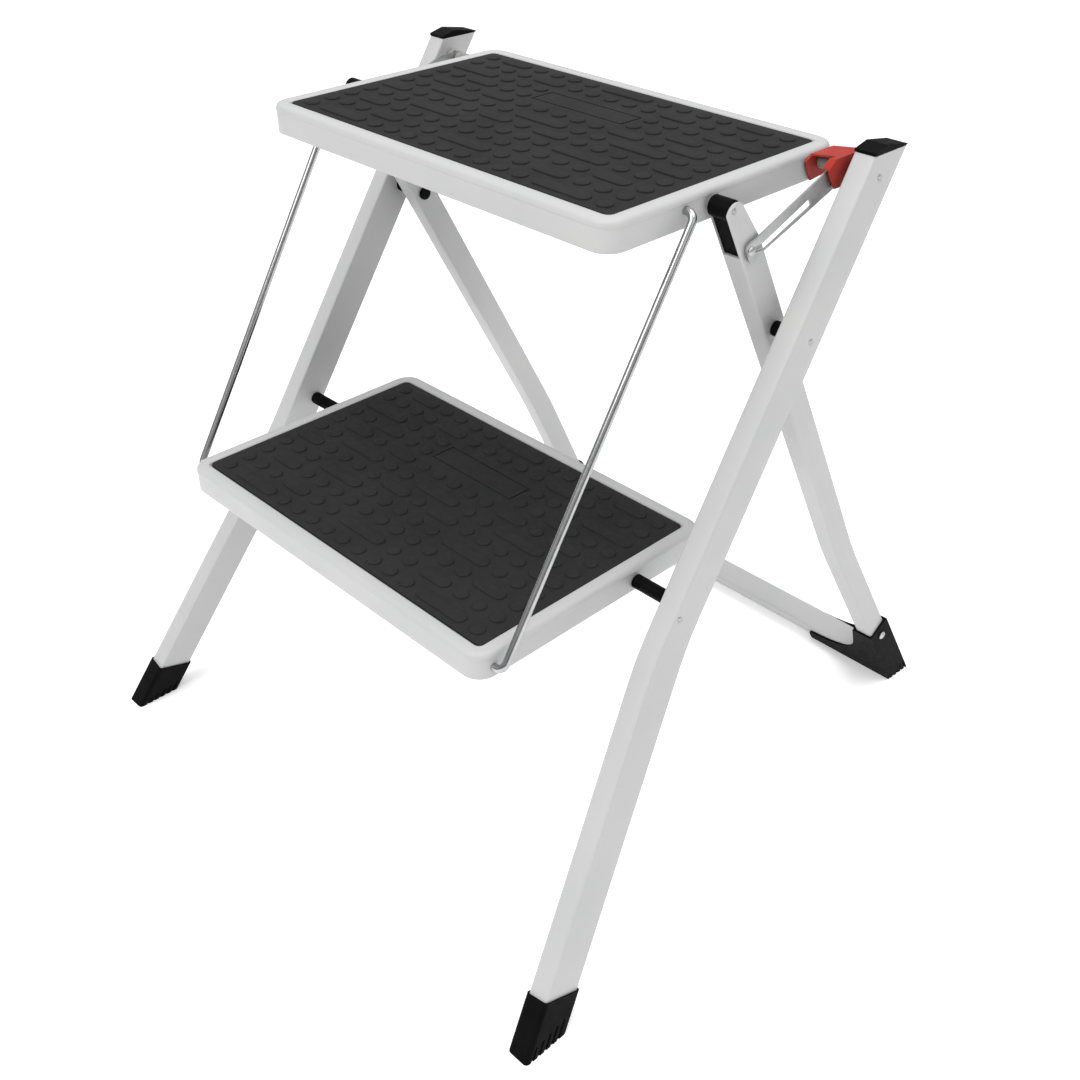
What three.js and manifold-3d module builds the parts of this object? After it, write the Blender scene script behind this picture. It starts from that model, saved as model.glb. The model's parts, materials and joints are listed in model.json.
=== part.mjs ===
// Folding two-tread step stool. Millimetres, +Z up, front of the stool towards -Y, origin on the
// floor under the middle of the stool. Right-hand pieces are drawn; left-hand ones mirror them.
import * as THREE from "three";
import { mergeVertices } from "three/addons/utils/BufferGeometryUtils.js";
import Module from "manifold-3d";

const wasm = await Module();
wasm.setup();

// ---- Driving dimensions -------------------------------------------------------------------
const GAP = 0.3; // air between pieces that meet
const WALL = 1.3; // tube wall
const SHEET = 1.2; // tread sheet

// Front legs: centre line y = FRONT_Y0 + FRONT_LEAN * z, splaying sideways below FRONT_BEND_Z.
const FRONT_LEAN = 0.657;
const FRONT_Y0 = -222.6;
const FRONT_THICK = 14;
const FRONT_WIDE = 31.4; // measured level, front to back
const FRONT_TOP_Z = 463.2;
const FRONT_TOP_X = 179.7;
const FRONT_TAPER = 0.0256;
const FRONT_BEND_Z = 204.8;
const FRONT_SPLAY = 0.1653;

// Rear legs lean the other way and splay below REAR_BEND_Z; a cross tube joins their feet.
const REAR_LEAN = -0.549;
const REAR_Y0 = 226.4;
const REAR_THICK = 14;
const REAR_WIDE = 20.7; // measured level, front to back
const REAR_X = 156.2;
const REAR_BEND_Z = 150.5;
const REAR_SPLAY = 0.108;
const CROSS_Z = 13.7;
const BEND_HALF = 14; // half the height over which a leg is bent
const TUBE_ROUND = 1.7;

// Treads
const TREAD_WIDTH = 292;
const TREAD_DEPTH = 193.4;
const TREAD_HEIGHT = 18;
const TREAD_CORNER = 13;
const TREAD_ROUND = 3.2;
const TOP_TREAD = { y: -4.9, z: 458.5 };
const LOWER_TREAD = { y: -99.4, z: 235.9 };
const MAT_WIDTH = 273;
const MAT_DEPTH = 172.6;
const MAT_THICK = 1.6;
const MAT_CORNER = 4;
const RECESS = 2.4;

// Pivot axes, all parallel to X, as [y, z]
const AXLE_TOP = [73, 450.8]; // top tread on the front legs
const AXLE_LOWER = [-67.5, 225.4]; // lower tread on the front legs
const SCISSOR = [22.9, 368.6]; // front legs on the rear legs
const FORK = [-24.2, 449.8]; // top of the rear legs
const STAY_PIN = [-10, 424.6]; // stay bar on the rear legs
const LINK_ARM = 116.5; // from a tread's axle to its link rod
const LEG_RIVET = [-81, 228.8];

const AXLE_R = 3.5;
const RIVET_R = 2.6;
const HEAD_R = 3.4;
const HEAD_H = 1.4;
const SPACER_R = 4.6;
const SLEEVE_R = 4.2;
const BOSS_R = 5.8;
const FORK_AHEAD = 3.2; // the fork's pivot is in front of the rear leg's centre line
const FORK_TIP_R = 7;
const FORK_TIP_DROP = 3.1; // from the pivot down to the centre of the fork's rounded tip
const FORK_TAPER_LOW = 35; // from the pivot down to where the back edge starts to taper
const FORK_EAR_LOW = 3.6; // from the pivot down to the top of the inner ear
const FORK_RECESS = 1.1; // of the black filler behind the leg's front face
const FORK_SLOT_LOW = 30.3; // from the pivot down to the bottom of the slot
const ROD_R = 2.4;
const ROD_X = 152.8;
const ROD_END_X = 141.5;
const CLIP_R = 3.6;
const STAY_X = [164.6, 165.8];
const STAY_EYE_R = 4.7;
const LATCH_X = [146.4, 168]; // outer faces of its two cheeks
const LATCH_SHEET = 1.1;
const LATCH_TOP = [5.7, 9]; // height of its top above the axle, at the inner and outer cheeks
const CAP_GABLE = [[0, 2], [11, 4.5], [31.4, 1]]; // height along a leg cap, from its front
const FOOT_WALL = 1.3;
const FOOT_TOP = [215, -218, 31.8]; // a point on the plane of the foot's top edge
const FOOT_FALL = 0.36; // of that plane towards the back
const SOLE = 5;
const COVER_WALL = 1.9;
const COVER_TOP = 69; // along the rear leg
const COVER_INNER_X = 104;
const COVER_WEB_X = 153; // the cover is open over the cross tube up to here

// ---- Materials ----------------------------------------------------------------------------
const paint = new THREE.MeshStandardMaterial({ color: 0xeceae6, roughness: 0.42, metalness: 0 });
const rubber = new THREE.MeshStandardMaterial({ color: 0x333333, roughness: 0.8, metalness: 0 });
const plastic = new THREE.MeshStandardMaterial({ color: 0x141414, roughness: 0.5, metalness: 0 });
const chrome = new THREE.MeshStandardMaterial({ color: 0xc8c8c8, roughness: 0.15, metalness: 1 });
const zinc = new THREE.MeshStandardMaterial({ color: 0xb9b9b6, roughness: 0.4, metalness: 0.8 });
const red = new THREE.MeshStandardMaterial({ color: 0xb63a26, roughness: 0.45, metalness: 0 });
const nylon = new THREE.MeshStandardMaterial({ color: 0xdedcd6, roughness: 0.5, metalness: 0 });

// ---- Helpers ------------------------------------------------------------------------------
function solid(geometry) {
  const bare = geometry.clone();
  bare.deleteAttribute("normal");
  bare.deleteAttribute("uv");
  const merged = mergeVertices(bare, 1e-4);
  return new wasm.Manifold(
    new wasm.Mesh({
      numProp: 3,
      vertProperties: new Float32Array(merged.attributes.position.array),
      triVerts: new Uint32Array(merged.index.array),
    }),
  );
}

function geometryOf(body) {
  const mesh = body.getMesh();
  const geometry = new THREE.BufferGeometry();
  geometry.setAttribute("position", new THREE.BufferAttribute(mesh.vertProperties, 3));
  geometry.setIndex(new THREE.BufferAttribute(mesh.triVerts, 1));
  const faceted = geometry.toNonIndexed();
  faceted.computeVertexNormals();
  return faceted;
}

const group = new THREE.Group();

function add(name, body, material) {
  const mesh = new THREE.Mesh(geometryOf(body), material);
  mesh.name = name;
  group.add(mesh);
  return mesh;
}

function addPair(name, body, material) {
  add(name + "_right", body, material);
  add(name + "_left", body, material).scale.x = -1;
}

function roundedRect(width, depth, radius) {
  const w = width / 2;
  const d = depth / 2;
  const shape = new THREE.Shape();
  shape.moveTo(-w + radius, -d);
  shape.lineTo(w - radius, -d);
  shape.absarc(w - radius, -d + radius, radius, -Math.PI / 2, 0);
  shape.lineTo(w, d - radius);
  shape.absarc(w - radius, d - radius, radius, 0, Math.PI / 2);
  shape.lineTo(-w + radius, d);
  shape.absarc(-w + radius, d - radius, radius, Math.PI / 2, Math.PI);
  shape.lineTo(-w, -d + radius);
  shape.absarc(-w + radius, -d + radius, radius, Math.PI, 1.5 * Math.PI);
  return shape;
}

function box(x0, x1, y0, y1, z0, z1) {
  const geometry = new THREE.BoxGeometry(x1 - x0, y1 - y0, z1 - z0);
  return solid(geometry.translate((x0 + x1) / 2, (y0 + y1) / 2, (z0 + z1) / 2));
}

// Cylinder along X about the axis [y, z].
function rod([y, z], x0, x1, radius, sides = 20) {
  const geometry = new THREE.CylinderGeometry(radius, radius, x1 - x0, sides);
  geometry.rotateZ(Math.PI / 2);
  return solid(geometry.translate((x0 + x1) / 2, y, z));
}

// Solid of revolution about the X axis through [y, z]; profile points are [x, radius].
function turned([y, z], profile, sides = 20) {
  const points = profile.map(([x, radius]) => new THREE.Vector2(radius, x));
  const geometry = new THREE.LatheGeometry(points, sides);
  geometry.rotateZ(-Math.PI / 2);
  return solid(geometry.translate(0, y, z));
}

// Plate of the given outline in the Y-Z plane, between two X values.
function plate(shape, x0, x1, [y, z] = [0, 0], curveSegments = 10) {
  const depth = x1 - x0;
  const geometry = new THREE.ExtrudeGeometry(shape, { depth, bevelEnabled: false, curveSegments });
  const across = new THREE.Vector3(0, 1, 0);
  const up = new THREE.Vector3(0, 0, 1);
  const out = new THREE.Vector3(1, 0, 0);
  geometry.applyMatrix4(new THREE.Matrix4().makeBasis(across, up, out));
  return solid(geometry.translate(x0, y, z));
}

// Plain ring or washer about an X axis.
function sleeve(axis, x0, x1, outer, inner) {
  return rod(axis, x0, x1, outer).subtract(rod(axis, x0 - 1, x1 + 1, inner));
}

// ---- Leg tubes ----------------------------------------------------------------------------
// A level section carried up through the stations, each shifted to the leg's centre line.
function leaningTube(width, depth, stations, centre, cornerRadius) {
  const steps = stations.length - 1;
  const geometry = new THREE.ExtrudeGeometry(roundedRect(width, depth, cornerRadius), {
    depth: steps,
    steps,
    bevelEnabled: false,
    curveSegments: 2,
  });
  const position = geometry.attributes.position;
  for (let i = 0; i < position.count; i++) {
    const z = stations[Math.round(position.getZ(i))];
    const [x, y] = centre(z);
    position.setXYZ(i, position.getX(i) + x, position.getY(i) + y, z);
  }
  return solid(geometry);
}

// Sideways position on a leg whose slope eases from one value to the other around the bend.
function bentX(z, bendZ, atBend, slopeAbove, slopeBelow) {
  const t = THREE.MathUtils.clamp((bendZ - z) / BEND_HALF, -1, 1);
  const eased = (BEND_HALF * (1 + t) * (1 + t)) / 4 + Math.max(bendZ - BEND_HALF - z, 0);
  return atBend + slopeAbove * (bendZ - z) + (slopeBelow - slopeAbove) * eased;
}

function bendStations(bendZ, low, high) {
  const levels = [-1, -0.4, 0.4, 1].map((t) => bendZ + t * BEND_HALF);
  return levels.filter((z) => z > low && z < high);
}

const frontBendX = FRONT_TOP_X + FRONT_TAPER * (FRONT_TOP_Z - FRONT_BEND_Z);
const frontX = (z) => bentX(z, FRONT_BEND_Z, frontBendX, FRONT_TAPER, FRONT_SPLAY);
const frontY = (z) => FRONT_Y0 + FRONT_LEAN * z;
const rearX = (z) => bentX(z, REAR_BEND_Z, REAR_X, 0, REAR_SPLAY);
const rearY = (z) => REAR_Y0 + REAR_LEAN * z;

function frontTube(extra, low, high) {
  const stations = [low, ...bendStations(FRONT_BEND_Z, low, high), high];
  const round = Math.max(TUBE_ROUND + extra, TUBE_ROUND / 3);
  const centre = (z) => [frontX(z), frontY(z)];
  const stretch = 2 / Math.cos(Math.atan(FRONT_LEAN));
  return leaningTube(FRONT_THICK + 2 * extra, FRONT_WIDE + stretch * extra, stations, centre, round);
}

function rearTube(extra, low, high) {
  const stations = [low, ...bendStations(REAR_BEND_Z, low, high), high];
  const round = Math.max(TUBE_ROUND + extra, TUBE_ROUND / 3);
  const centre = (z) => [rearX(z), rearY(z)];
  const stretch = 2 / Math.cos(Math.atan(REAR_LEAN));
  return leaningTube(REAR_THICK + 2 * extra, REAR_WIDE + stretch * extra, stations, centre, round);
}

function frontLeg() {
  const low = SOLE + GAP;
  const tube = frontTube(0, low, FRONT_TOP_Z).subtract(frontTube(-WALL, low - 5, FRONT_TOP_Z + 5));
  const outside = frontX(AXLE_TOP[1]) + FRONT_THICK / 2;
  return tube
    .subtract(rod(AXLE_TOP, outside - 20, outside - 5, AXLE_R + GAP, 20))
    .subtract(rod(AXLE_TOP, outside - 6, outside + 5, RIVET_R + GAP, 20))
    .subtract(rod(SCISSOR, outside - 25, outside + 10, RIVET_R + GAP, 20))
    .subtract(rod(AXLE_LOWER, outside - 12, outside + 1, AXLE_R + GAP, 20))
    .subtract(rod(LEG_RIVET, outside - 1, outside + 12, RIVET_R + GAP, 20));
}

// ---- Rear frame ---------------------------------------------------------------------------
const rearAxis = new THREE.Vector3(0, REAR_LEAN, 1).normalize();
const rearAcross = new THREE.Vector3(0, rearAxis.z, -rearAxis.y);

// Frame of the rear legs: X across the stool, then up the leg, then out of the leg's front.
function alongRearLeg(geometry, [y, z]) {
  const front = rearAcross.clone().negate();
  geometry.applyMatrix4(new THREE.Matrix4().makeBasis(new THREE.Vector3(1, 0, 0), rearAxis, front));
  return solid(geometry.translate(0, y, z));
}

function rearBlock(origin, x0, x1, low, high, back, front) {
  const geometry = new THREE.BoxGeometry(x1 - x0, high - low, front - back);
  return alongRearLeg(geometry.translate((x0 + x1) / 2, (low + high) / 2, (back + front) / 2), origin);
}

const CROSS = [rearY(CROSS_Z), CROSS_Z];
const CROSS_DEEP = 18;

function crossTubeSolid(extra, halfLength) {
  const round = Math.max(TUBE_ROUND + extra, 0.8);
  const shape = roundedRect(REAR_THICK + 2 * extra, CROSS_DEEP + 2 * extra, round);
  const options = { depth: 2 * halfLength, bevelEnabled: false, curveSegments: 3 };
  const geometry = new THREE.ExtrudeGeometry(shape, options).translate(0, 0, -halfLength);
  const basis = new THREE.Matrix4().makeBasis(rearAxis, rearAcross, new THREE.Vector3(-1, 0, 0));
  geometry.applyMatrix4(basis);
  return solid(geometry.translate(0, ...CROSS));
}

const crossHalf = rearX(CROSS_Z) + REAR_THICK / 2;

function crossTube() {
  const tube = crossTubeSolid(0, crossHalf);
  return tube.subtract(crossTubeSolid(-WALL, crossHalf + 5));
}

const SCREW_UP = 59.5;
const onRearLeg = (distance) => [REAR_Y0 + rearAxis.y * distance, rearAxis.z * distance];

// Outline extruded along X; its points are [up the leg, out of the leg's front].
function rearPlate(points, x0, x1, [y, z]) {
  const shape = new THREE.Shape(points.map(([up, out]) => new THREE.Vector2(up, out)));
  const geometry = new THREE.ExtrudeGeometry(shape, { depth: x1 - x0, bevelEnabled: false });
  const front = rearAcross.clone().negate();
  const across = new THREE.Vector3(1, 0, 0);
  geometry.applyMatrix4(new THREE.Matrix4().makeBasis(rearAxis, front, across));
  return solid(geometry.translate(x0, y, z));
}

// Rounded tip of the fork, with its straight front edge and tapering back edge.
function forkOutline() {
  const level = REAR_WIDE * rearAxis.z;
  const back = -FORK_AHEAD - level / 2;
  const points = [[-FORK_TAPER_LOW - 3, back - 2], [-FORK_TAPER_LOW - 3, 20], [0.8, 20]];
  const steps = 12;
  for (let i = 0; i <= steps; i++) {
    const angle = THREE.MathUtils.degToRad(THREE.MathUtils.lerp(56, -90, i / steps));
    const up = FORK_TIP_R * Math.cos(angle) - FORK_TIP_DROP;
    points.push([up, FORK_TIP_R * Math.sin(angle)]);
  }
  return [...points, [-FORK_TAPER_LOW, back]];
}

function rearLeg() {
  const high = FORK[1] + 20;
  const inner = REAR_X - REAR_THICK / 2;
  const outer = REAR_X + REAR_THICK / 2;
  const tube = rearTube(0, CROSS_Z + 2, high).subtract(rearTube(-WALL, CROSS_Z - 5, high + 5));
  const slot = rearBlock(FORK, inner + WALL, outer - WALL, -FORK_SLOT_LOW, 40, -20, 15);
  const head = rearBlock(FORK, inner - 5, outer + 5, -FORK_TAPER_LOW - 2, 40, -25, 18);
  const tip = head.subtract(rearPlate(forkOutline(), inner - 6, outer + 6, FORK));
  const innerEar = rearBlock(FORK, inner - 5, inner + 5, -FORK_EAR_LOW, 40, -20, 20);
  const screwAxis = onRearLeg(SCREW_UP);
  return tube
    .subtract(crossTubeSolid(GAP, crossHalf + 10))
    .subtract(slot)
    .subtract(tip)
    .subtract(innerEar)
    .subtract(rod(FORK, inner - 5, inner + 5, BOSS_R + GAP, 36))
    .subtract(rod(FORK, outer - 3, outer + 3, RIVET_R + GAP))
    .subtract(rod(SCISSOR, inner - 5, outer + 5, RIVET_R + GAP))
    .subtract(rod(screwAxis, outer - 4, outer + 25, 2.3, 16));
}

function forkInsert() {
  const inner = REAR_X - REAR_THICK / 2;
  const outer = REAR_X + REAR_THICK / 2 - WALL - GAP;
  const front = (REAR_WIDE * rearAxis.z) / 2 - FORK_AHEAD - FORK_RECESS;
  const back = -BOSS_R + 1;
  const tongue = rearBlock(FORK, inner + WALL + GAP, outer, GAP - FORK_SLOT_LOW, 0, back, front);
  const boss = rod(FORK, inner, outer, BOSS_R, 36);
  return tongue.add(boss).subtract(rod(FORK, inner + 3, outer + 5, RIVET_R + GAP));
}

// Black corner shoe over the joint of rear leg and cross tube.
function rearShoe() {
  const legOuter = (z) => rearX(z) + REAR_THICK / 2 + COVER_WALL;
  const legInner = (z) => rearX(z) - REAR_THICK / 2 - 1.5;
  const half = CROSS_DEEP / 2 + COVER_WALL;
  const topZ = COVER_TOP * rearAxis.z;
  const shape = new THREE.Shape();
  shape.moveTo(COVER_INNER_X + 2, -10);
  shape.lineTo(legOuter(-8), -10);
  shape.lineTo(legOuter(topZ), COVER_TOP);
  shape.lineTo(legInner(topZ), COVER_TOP - 1);
  shape.quadraticCurveTo(legInner(topZ) - 2, 52, legInner(topZ) - 4, 44);
  shape.quadraticCurveTo(148, 19.5, COVER_INNER_X + 3, 16.5);
  shape.quadraticCurveTo(COVER_INNER_X, 16, COVER_INNER_X, 13);
  const options = { depth: 2 * half, bevelEnabled: false, curveSegments: 8 };
  const geometry = new THREE.ExtrudeGeometry(shape, options);
  const outside = alongRearLeg(geometry.translate(0, 0, -half), [REAR_Y0, 0]);
  const inside = half - COVER_WALL + GAP;
  const overTube = rearBlock([REAR_Y0, 0], 90, COVER_WEB_X, 16, 90, -inside, inside);
  return outside
    .subtract(overTube)
    .subtract(box(80, 220, 100, 300, -60, 0))
    .subtract(rearTube(GAP, CROSS_Z, 120))
    .subtract(crossTubeSolid(GAP, crossHalf + GAP))
    .subtract(rod(onRearLeg(SCREW_UP), 160, 190, 2.3, 16));
}

// ---- Front feet and caps ------------------------------------------------------------------
function frontFoot() {
  const outside = frontTube(FOOT_WALL, 0, 60);
  const cutter = new THREE.BoxGeometry(80, 120, 60).translate(0, 0, 30);
  cutter.rotateX(-Math.atan(FOOT_FALL)).rotateY(-Math.atan(FRONT_SPLAY));
  cutter.translate(...FOOT_TOP);
  return outside.subtract(solid(cutter)).subtract(frontTube(GAP, SOLE, 80));
}

function legCap() {
  const x = frontX(FRONT_TOP_Z);
  const front = frontY(FRONT_TOP_Z) - FRONT_WIDE / 2;
  const points = [[FRONT_WIDE, GAP], ...CAP_GABLE.toReversed(), [0, GAP]];
  const outline = new THREE.Shape(points.map(([y, z]) => new THREE.Vector2(y, z)));
  const half = FRONT_THICK / 2;
  const head = plate(outline, x - half, x + half, [front, FRONT_TOP_Z]);
  return head.add(frontTube(-WALL - GAP, FRONT_TOP_Z - 8, FRONT_TOP_Z + 0.8));
}

// ---- Treads -------------------------------------------------------------------------------
function tray({ y, z }, axle) {
  const bevel = TREAD_ROUND;
  const inset = roundedRect(TREAD_WIDTH - 2 * bevel, TREAD_DEPTH - 2 * bevel, TREAD_CORNER - bevel);
  const skin = new THREE.ExtrudeGeometry(inset, {
    depth: TREAD_HEIGHT,
    bevelThickness: bevel,
    bevelSize: bevel,
    bevelSegments: 3,
    curveSegments: 4,
  });
  const low = z - TREAD_HEIGHT;
  const slab = solid(skin.translate(0, y, low - bevel));
  const hollowShape = roundedRect(TREAD_WIDTH - 2 * SHEET, TREAD_DEPTH - 2 * SHEET, TREAD_CORNER - SHEET);
  const hollowDepth = TREAD_HEIGHT - RECESS - SHEET + 10;
  const straight = { bevelEnabled: false, curveSegments: 4 };
  const hollow = new THREE.ExtrudeGeometry(hollowShape, { ...straight, depth: hollowDepth });
  const pocketShape = roundedRect(MAT_WIDTH + 2 * GAP, MAT_DEPTH + 2 * GAP, MAT_CORNER);
  const pocket = new THREE.ExtrudeGeometry(pocketShape, { ...straight, depth: 10 });
  const link = [axle[0] - LINK_ARM, axle[1]];
  return slab
    .subtract(box(-200, 200, y - 150, y + 150, low - 30, low))
    .subtract(solid(hollow.translate(0, y, low - 10)))
    .subtract(solid(pocket.translate(0, y, z - RECESS)))
    .subtract(rod(axle, -200, 200, AXLE_R + GAP, 24))
    .subtract(rod(link, -200, 200, ROD_R + GAP, 16));
}

function mat({ y, z }) {
  const bevel = 0.4;
  const shape = roundedRect(MAT_WIDTH - 2 * bevel, MAT_DEPTH - 2 * bevel, MAT_CORNER - bevel);
  const sheet = new THREE.ExtrudeGeometry(shape, {
    depth: MAT_THICK - 2 * bevel,
    bevelThickness: bevel,
    bevelSize: bevel,
    bevelSegments: 1,
    curveSegments: 2,
  });
  return solid(sheet.translate(0, y, z - RECESS + GAP + bevel));
}

// ---- Pins and rivets ----------------------------------------------------------------------
// Low domed head on the outside of a leg; the profile runs from the shank's inner end outwards.
const headProfile = (x) => [
  [x, HEAD_R],
  [x + HEAD_H * 0.55, HEAD_R * 0.86],
  [x + HEAD_H, HEAD_R * 0.45],
  [x + HEAD_H * 0.7, 0],
];

function topAxle() {
  const face = frontX(AXLE_TOP[1]) + FRONT_THICK / 2 + GAP;
  const shoulder = face - 6;
  const shank = [[0, 0], [0, AXLE_R], [shoulder, AXLE_R], [shoulder, RIVET_R], [face, RIVET_R]];
  const half = turned(AXLE_TOP, [...shank, ...headProfile(face)]);
  return half.add(mirrored(half));
}

function mirrored(body) {
  const geometry = geometryOf(body);
  geometry.scale(-1, 1, 1);
  const position = geometry.attributes.position;
  const corner = new THREE.Vector3();
  const other = new THREE.Vector3();
  for (let i = 0; i < position.count; i += 3) {
    corner.fromBufferAttribute(position, i);
    other.fromBufferAttribute(position, i + 1);
    position.setXYZ(i, ...other);
    position.setXYZ(i + 1, ...corner);
  }
  return solid(geometry);
}

function scissorRivet() {
  const face = frontX(SCISSOR[1]) + FRONT_THICK / 2 + GAP;
  const inner = REAR_X - REAR_THICK / 2 - 1;
  return turned(SCISSOR, [[inner, 0], [inner, RIVET_R], [face, RIVET_R], ...headProfile(face)]);
}

// Riveted over flush with the fork's outer face.
function forkRivet() {
  const face = REAR_X + REAR_THICK / 2;
  const inner = REAR_X - 3;
  const end = [[face - 0.6, RIVET_R], [face, RIVET_R * 0.7], [face - 0.3, 0]];
  return turned(FORK, [[inner, 0], [inner, RIVET_R], ...end]);
}

function legRivet() {
  const face = frontX(LEG_RIVET[1]) + FRONT_THICK / 2 + GAP;
  return turned(LEG_RIVET, [[face - 6, 0], [face - 6, RIVET_R], [face, RIVET_R], ...headProfile(face)]);
}

function shoeScrew() {
  const axis = onRearLeg(SCREW_UP);
  const face = rearX(axis[1]) + REAR_THICK / 2 + COVER_WALL + GAP;
  const slot = box(face + 0.9, face + 3, axis[0] - 0.5, axis[0] + 0.5, axis[1] - 5, axis[1] + 5);
  return turned(axis, [[face - 7, 0], [face - 7, 1.9], [face, 1.9], ...headProfile(face)]).subtract(slot);
}

const stayPinHead = () => turned(STAY_PIN, [[STAY_X[1] + GAP, 0], ...headProfile(STAY_X[1] + GAP)]);

// ---- Link rods, stays and latch -----------------------------------------------------------
function linkRod() {
  const top = new THREE.Vector3(ROD_X, AXLE_TOP[0] - LINK_ARM, AXLE_TOP[1]);
  const low = new THREE.Vector3(ROD_X, AXLE_LOWER[0] - LINK_ARM, AXLE_LOWER[1]);
  const along = new THREE.Vector3().subVectors(top, low);
  const shank = new THREE.CylinderGeometry(ROD_R, ROD_R, along.length(), 14);
  const upright = new THREE.Vector3(0, 1, 0);
  const turn = new THREE.Quaternion().setFromUnitVectors(upright, along.clone().normalize());
  shank.applyQuaternion(turn);
  const middle = top.clone().add(low).multiplyScalar(0.5);
  const ends = [top, low].map((end) => {
    const knee = solid(new THREE.SphereGeometry(ROD_R, 14, 8).translate(...end));
    return knee.add(rod([end.y, end.z], ROD_END_X, ROD_X, ROD_R, 14));
  });
  return solid(shank.translate(...middle)).add(ends[0]).add(ends[1]);
}

function rodClip(axle) {
  const inside = TREAD_WIDTH / 2 - SHEET - 1.4;
  return sleeve([axle[0] - LINK_ARM, axle[1]], inside - 0.8, inside, CLIP_R, ROD_R + 0.1);
}

// Slotted strip from its pin to the axle. Outline points are [along, above] the line from pin to axle.
function stayBar() {
  const reach = new THREE.Vector2(AXLE_TOP[0] - STAY_PIN[0], AXLE_TOP[1] - STAY_PIN[1]);
  const eye = reach.length();
  const pinEnd = [[5, 4.9], [0.6, 5.2], [-2, 4.8], [-3.2, 3.5], [-3.6, 0], [-3, -4]];
  const underPin = [[-1.3, -6.6], [0.5, -7.6], [2.4, -7.5], [4.2, -6.6], [5.8, -5.3], [9, -5.5], [10.5, -6.1]];
  const axleEnd = [[54, -4.4], [eye, -STAY_EYE_R], [eye + 2, 2], [eye - 1, STAY_EYE_R], [eye - 14, 9.1]];
  const slot = [[51.5, 1.6], [10.2, -0.7], [0.8, 1.5], [-1.4, 1], [-1.4, -1], [10.2, -5.1], [52.6, -3.5]];
  const shapeOf = (points) => new THREE.Shape(points.map((p) => new THREE.Vector2(...p)));
  const bar = plate(shapeOf([...pinEnd, ...underPin, ...axleEnd]), ...STAY_X)
    .add(rod([eye, 0], ...STAY_X, STAY_EYE_R, 24))
    .subtract(plate(shapeOf(slot), STAY_X[0] - 1, STAY_X[1] + 1))
    .subtract(rod([eye, 0], STAY_X[0] - 1, STAY_X[1] + 1, AXLE_R + GAP, 24));
  const geometry = geometryOf(bar);
  geometry.rotateX(reach.angle());
  return solid(geometry.translate(0, ...STAY_PIN));
}

// Saddle of sheet astride the axle: an inner cheek beside the tread, an outer one beyond the stay
// bar, and a sloping top whose front inner part is cut away to clear the folding fork.
function cheek(points, x0, x1) {
  const shape = new THREE.Shape(points.map(([y, z]) => new THREE.Vector2(y, z)));
  return plate(shape, x0, x1, AXLE_TOP);
}

// Sloping sheet of the latch's top between two Y values measured from the axle.
function latchTop(x0, x1, y0, y1) {
  const [inner, outer] = LATCH_X;
  const level = (x) => THREE.MathUtils.lerp(...LATCH_TOP, (x - inner) / (outer - inner));
  const ends = [x0, x1].map((x) => new THREE.Vector2(x, level(x)));
  const under = ends.map((end) => new THREE.Vector2(end.x, end.y - LATCH_SHEET));
  const shape = new THREE.Shape([...under, ends[1], ends[0]]);
  const geometry = new THREE.ExtrudeGeometry(shape, { depth: y1 - y0, bevelEnabled: false });
  geometry.rotateX(Math.PI / 2);
  return solid(geometry.translate(0, AXLE_TOP[0] + y1, AXLE_TOP[1]));
}

function latch() {
  const [x0, x1] = LATCH_X;
  const lipX = x1 - 4.6;
  const inner = [[-14.5, 2.4], [-13.6, -1], [-8.3, -9.7], [5, -8.6], [9, -6.4], [12, 5], [-9.6, 5.2]];
  const finger = [[-21.5, 4.4], [-20.6, 1.4], [-14, -8.2], [-6, -8.4], [-2, -6.4]];
  const outer = [...finger, [9, -6.4], [12, 8.6], [-16, 8.6]];
  const tongue = [[-21.5, 4.4], [-20.7, 3.5], [-15.4, 7.4], [-15.4, 8.6], [-16, 8.6]];
  return latchTop(x0, x1, -9.6, 12)
    .add(latchTop(lipX, x1, -16, -9.2))
    .add(cheek(tongue, lipX, x1))
    .add(cheek(inner, x0, x0 + LATCH_SHEET))
    .add(cheek(outer, x1 - LATCH_SHEET, x1))
    .subtract(rod(AXLE_TOP, x0 - 2, x1 + 2, AXLE_R + GAP));
}

// ---- Assembly -----------------------------------------------------------------------------
const frontInner = (z) => frontX(z) - FRONT_THICK / 2;
const rearOuter = REAR_X + REAR_THICK / 2;
const rearInner = REAR_X - REAR_THICK / 2;
const trayEdge = TREAD_WIDTH / 2;

// Loose ring on a pin, between two faces.
function spacer(axis, x0, x1, outer, pin) {
  return sleeve(axis, x0 + GAP, x1 - GAP, outer, pin + 0.1);
}

function lowerAxle() {
  const half = frontInner(AXLE_LOWER[1]) + 5;
  return rod(AXLE_LOWER, -half, half, AXLE_R);
}

function scissorCap() {
  const cap = rod(SCISSOR, rearInner - 2.1, rearInner - GAP, SPACER_R);
  return cap.subtract(rod(SCISSOR, rearInner - 1.2, rearInner + 1, RIVET_R + GAP));
}

const lowerGap = [trayEdge, frontInner(AXLE_LOWER[1]) - 0.2];
const scissorGap = [rearOuter, frontInner(SCISSOR[1]) - 0.2];
const sleeveGap = [LATCH_X[0] + LATCH_SHEET, STAY_X[0]];
const stayGap = [LATCH_X[1], frontInner(AXLE_TOP[1])];

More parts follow.
